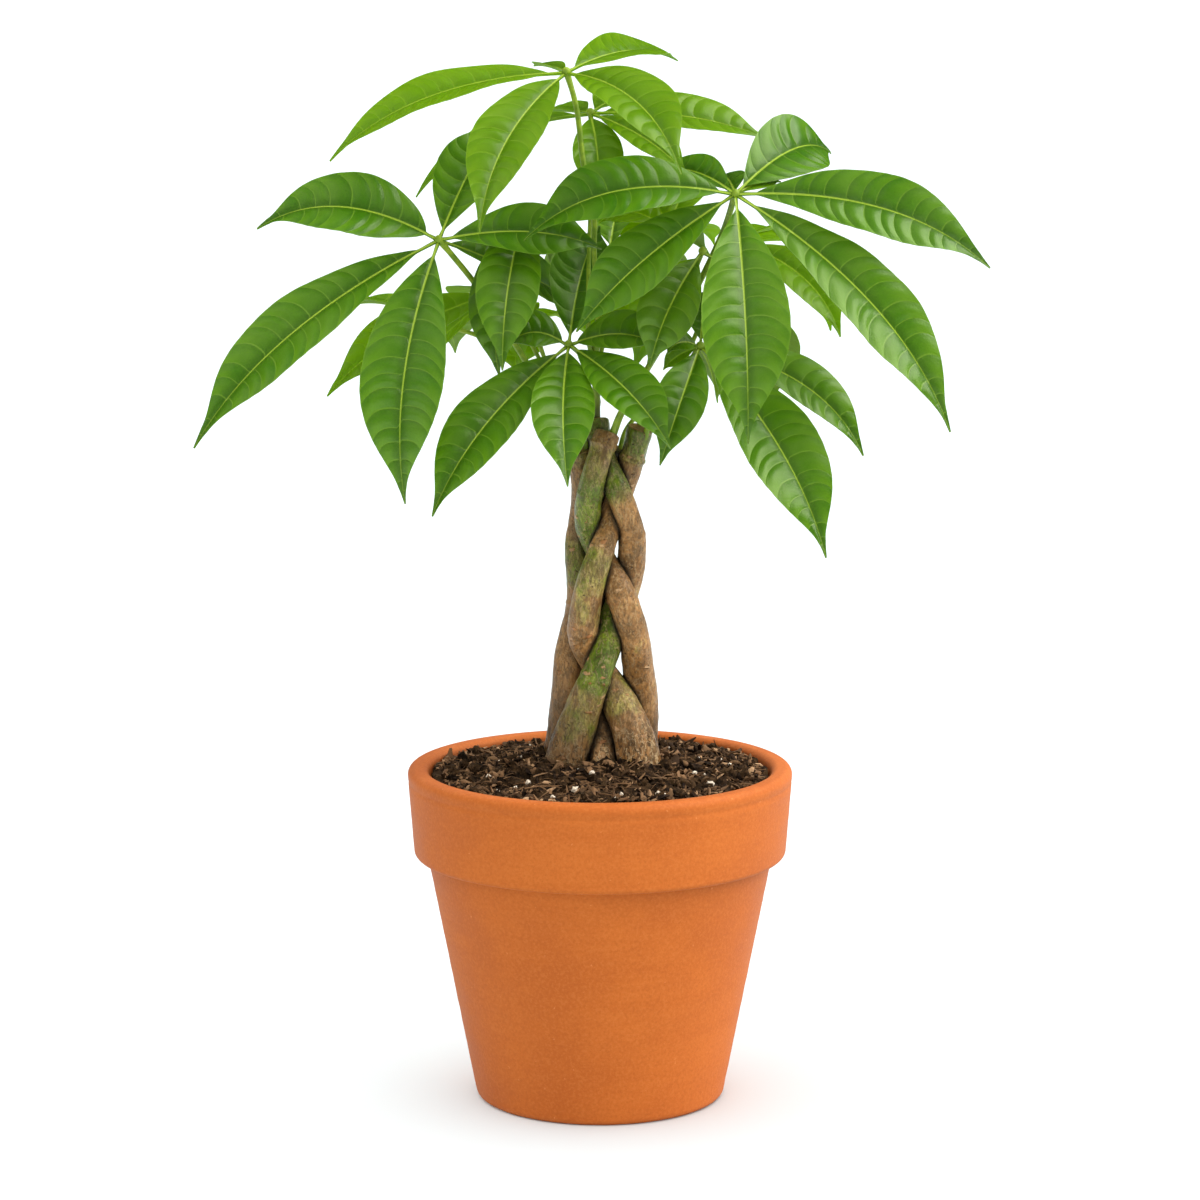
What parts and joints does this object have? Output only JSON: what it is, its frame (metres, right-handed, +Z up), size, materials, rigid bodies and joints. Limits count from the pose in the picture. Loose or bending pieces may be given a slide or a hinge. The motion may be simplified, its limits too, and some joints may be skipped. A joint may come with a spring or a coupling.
{
  "type": "potted money tree",
  "caption": "Small indoor tree with plaited woody stems and a crown of hand-shaped glossy leaves, standing in soil in a flared clay pot with a broad rim.",
  "frame": {"origin": "centre of the pot's flat base, on the surface it stands on", "axes": "+Z up along the pot's axis; -Y towards the front, the side seen in the picture; +X to the right as seen from the front"},
  "size_m": [0.3997, 0.2622, 0.5554],
  "materials": {
    "clay": "matt unglazed terracotta",
    "soil": "loose peat and bark",
    "bark": "rough bark with green zones",
    "green_shoot": "smooth green shoot",
    "leaf": "glossy leaf"
  },
  "bodies": {
    "root": {"pot": "clay", "soil": "soil", "stem_left": "bark", "stem_right": "bark", "stem_back_right": "bark", "stem_back_left": "bark", "stem_front": "bark", "shoot": "green_shoot", "leaf_top": "leaf", "leaf_upper": "leaf", "leaf_left": "leaf", "leaf_right": "leaf", "leaf_centre": "leaf", "leaf_low_right": "leaf", "leaf_hanging_left": "leaf", "leaf_behind_left": "leaf", "leaf_hanging_right": "leaf", "leaf_behind_right": "leaf", "leaf_mid_back": "leaf", "leaf_inner_back": "leaf", "leaf_low_back": "leaf", "leaf_rear": "leaf", "leaf_rear_left": "leaf", "leaf_rear_right": "leaf"}
  },
  "joints": []
}
